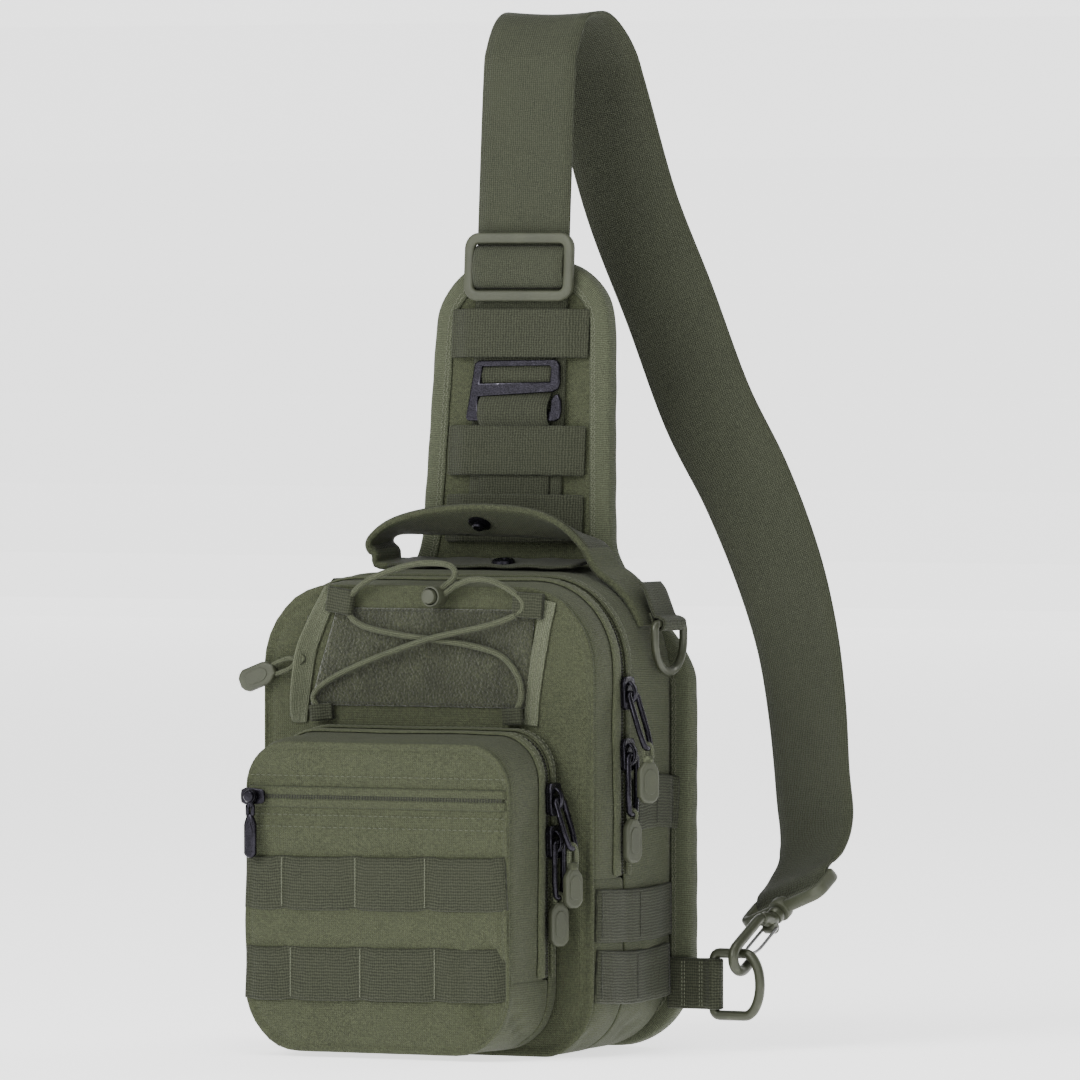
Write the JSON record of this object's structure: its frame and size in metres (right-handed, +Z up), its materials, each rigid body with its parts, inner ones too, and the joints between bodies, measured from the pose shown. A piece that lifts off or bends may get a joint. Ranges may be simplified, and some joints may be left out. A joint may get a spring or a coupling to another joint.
{
  "type": "sling bag",
  "caption": "Sling bag with padded yoke back, zipped main compartment and front pocket, load webbing, carry handle, rings and one shoulder strap ending in a snap hook.",
  "frame": {"origin": "centre of the flat base of the main body, on the floor", "axes": "+Z up, -Y to the front, +X to the wearer's left, which is the right side seen from the front"},
  "size_m": [0.2928, 0.2233, 0.4948],
  "materials": {
    "body_fabric": "matte",
    "webbing": "matte",
    "binding": "matte",
    "foam": "matte",
    "mesh": "matte",
    "loop_pile": "matte",
    "cord": "matte",
    "zip_tape": "matte",
    "olive_plastic": "matte",
    "olive_metal": "satin",
    "black_metal": "satin",
    "bare_steel": "satin"
  },
  "bodies": {
    "bag": {"back_panel_front": "body_fabric", "back_panel_foam": "foam", "back_panel_mesh": "mesh", "back_panel_binding": "binding", "rear_gusset": "body_fabric", "lower_gusset": "body_fabric", "main_zip_tape_rear": "zip_tape", "inner_sleeve": "body_fabric", "side_webbing": "webbing", "yoke_bands": "webbing", "g_hook_webbing": "webbing", "shoulder_strap": "webbing", "tail_webbing": "webbing", "handle_anchor": "webbing", "snap_socket": "black_metal", "upper_ring_tabs": "webbing", "strap_end_loop": "olive_metal"},
    "handle": {"carry_handle": "body_fabric", "snap_stud": "black_metal"},
    "ring_upper_right": {"upper_ring_right": "olive_metal"},
    "ring_upper_left": {"upper_ring_left": "olive_metal"},
    "ring_lower_right": {"lower_ring_right": "olive_metal"},
    "ring_lower_left": {"lower_ring_left": "olive_metal"},
    "hook": {"snap_hook": "olive_metal"},
    "gate": {"hook_gate": "bare_steel"},
    "adjuster": {"tri_glide": "olive_plastic", "strap_hump": "webbing"},
    "g_hook": {"g_hook": "black_metal"},
    "lid": {"front_panel": "body_fabric", "front_gusset": "body_fabric", "main_zip_tape_front": "zip_tape", "loop_panel": "loop_pile", "side_strips": "binding", "cord_loops": "webbing", "lacing_cord": "cord", "pocket_back_gusset": "body_fabric", "pocket_lower_gusset": "body_fabric", "pocket_zip_tape_rear": "zip_tape", "left_zip_tape": "zip_tape"},
    "cord_lock": {"cord_lock_barrel": "olive_plastic"},
    "lock_button": {"cord_lock_button": "olive_plastic"},
    "left_slider": {"left_zip_slider": "black_metal"},
    "left_pull": {"left_zip_pull": "olive_plastic"},
    "pocket_lid": {"pocket_front_panel": "body_fabric", "pocket_front_gusset": "body_fabric", "pocket_zip_tape_front": "zip_tape", "pocket_molle_rows": "webbing", "flat_zip_tape": "zip_tape"},
    "flat_slider": {"flat_zip_slider": "black_metal"},
    "flat_pull": {"flat_zip_pull": "black_metal"},
    "main_slider_upper": {"main_slider_upper": "black_metal"},
    "main_pull_upper": {"main_pull_upper": "olive_plastic"},
    "main_slider_lower": {"main_slider_lower": "black_metal"},
    "main_pull_lower": {"main_pull_lower": "olive_plastic"},
    "pocket_slider_upper": {"pocket_slider_upper": "black_metal"},
    "pocket_pull_upper": {"pocket_pull_upper": "olive_plastic"},
    "pocket_slider_lower": {"pocket_slider_lower": "black_metal"},
    "pocket_pull_lower": {"pocket_pull_lower": "olive_plastic"}
  },
  "joints": [
    {"name": "lid_open", "type": "hinge", "parent": "bag", "child": "lid", "pos_m": [0, -0.0442, 0.0022], "axis": [1, 0, 0], "range_deg": [0, 35]},
    {"name": "pocket_open", "type": "hinge", "parent": "lid", "child": "pocket_lid", "pos_m": [0, -0.0945, 0.0048], "axis": [1, 0, 0], "range_deg": [0, 60]},
    {"name": "handle_swing", "type": "hinge", "parent": "bag", "child": "handle", "pos_m": [0, 0.02, 0.226], "axis": [1, 0, 0], "range_deg": [-10, 15]},
    {"name": "upper_ring_right_swing", "type": "hinge", "parent": "bag", "child": "ring_upper_right", "pos_m": [0.093, 0.0245, 0.203], "axis": [0, -1, 0], "range_deg": [0, 100]},
    {"name": "upper_ring_left_swing", "type": "hinge", "parent": "bag", "child": "ring_upper_left", "pos_m": [-0.093, 0.0245, 0.203], "axis": [0, 1, 0], "range_deg": [0, 100]},
    {"name": "lower_ring_right_swing", "type": "hinge", "parent": "bag", "child": "ring_lower_right", "pos_m": [0.1086, 0.041, 0.03], "axis": [0, 0, 1], "range_deg": [-2, 2]},
    {"name": "lower_ring_left_swing", "type": "hinge", "parent": "bag", "child": "ring_lower_left", "pos_m": [-0.1086, 0.041, 0.03], "axis": [0, 0, 1], "range_deg": [-75, 75]},
    {"name": "hook_swivel", "type": "hinge", "parent": "bag", "child": "hook", "pos_m": [0.12815, 0.07302, 0.06644], "axis": [0.096, 0.8426, 0.5299], "range_deg": [-4, 4]},
    {"name": "hook_gate_open", "type": "hinge", "parent": "hook", "child": "gate", "pos_m": [0.1271, 0.06385, 0.05761], "axis": [-0.9936, 0.1132, 0], "range_deg": [0, 13], "stiffness_Nm_per_rad": 0.02, "springref_deg": -5.73},
    {"name": "strap_adjust", "type": "slide", "parent": "bag", "child": "adjuster", "axis": [0, 0.0698, 0.9976], "range_m": [0, 0.05]},
    {"name": "g_hook_lift", "type": "hinge", "parent": "bag", "child": "g_hook", "pos_m": [0, 0.04333, 0.3242], "axis": [-1, 0, 0], "range_deg": [0, 35]},
    {"name": "cord_lock_slide", "type": "slide", "parent": "lid", "child": "cord_lock", "axis": [0.8192, 0, 0.5736], "range_m": [0, 0.004]},
    {"name": "cord_lock_press", "type": "slide", "parent": "cord_lock", "child": "lock_button", "axis": [0, 1, 0], "range_m": [0, 0.0024], "stiffness_N_per_m": 400, "springref_m": -0.0005},
    {"name": "left_zip_slide", "type": "slide", "parent": "lid", "child": "left_slider", "axis": [-0.2059, 0, -0.9786], "range_m": [0, 0.016]},
    {"name": "left_pull_swing", "type": "hinge", "parent": "left_slider", "child": "left_pull", "pos_m": [-0.0665, -0.052, 0.186], "axis": [0, 1, 0], "range_deg": [-30, 45]},
    {"name": "flat_zip_slide", "type": "slide", "parent": "pocket_lid", "child": "flat_slider", "axis": [1, 0, 0], "range_m": [0, 0.125]},
    {"name": "flat_pull_swing", "type": "hinge", "parent": "flat_slider", "child": "flat_pull", "pos_m": [-0.064, -0.1018, 0.1225], "axis": [0, 1, 0], "range_deg": [-80, 80]},
    {"name": "main_zip_upper_slide", "type": "slide", "parent": "bag", "child": "main_slider_upper", "axis": [0, 0, 1], "range_m": [0, 0.01]},
    {"name": "main_zip_lower_slide", "type": "slide", "parent": "bag", "child": "main_slider_lower", "axis": [0, 0, 1], "range_m": [-0.044, 0]},
    {"name": "main_pull_upper_swing", "type": "hinge", "parent": "main_slider_upper", "child": "main_pull_upper", "pos_m": [0.0945, -0.016, 0.171], "axis": [0, -1, 0], "range_deg": [0, 90]},
    {"name": "main_pull_lower_swing", "type": "hinge", "parent": "main_slider_lower", "child": "main_pull_lower", "pos_m": [0.0945, -0.016, 0.142], "axis": [0, -1, 0], "range_deg": [0, 6]},
    {"name": "pocket_zip_upper_slide", "type": "slide", "parent": "lid", "child": "pocket_slider_upper", "axis": [0, 0, 1], "range_m": [0, 0.004]},
    {"name": "pocket_zip_lower_slide", "type": "slide", "parent": "lid", "child": "pocket_slider_lower", "axis": [0, 0, 1], "range_m": [-0.043, 0]},
    {"name": "pocket_pull_upper_swing", "type": "hinge", "parent": "pocket_slider_upper", "child": "pocket_pull_upper", "pos_m": [0.0765, -0.056, 0.122], "axis": [0, -1, 0], "range_deg": [0, 90]},
    {"name": "pocket_pull_lower_swing", "type": "hinge", "parent": "pocket_slider_lower", "child": "pocket_pull_lower", "pos_m": [0.0765, -0.056, 0.102], "axis": [0, -1, 0], "range_deg": [0, 3]}
  ]
}
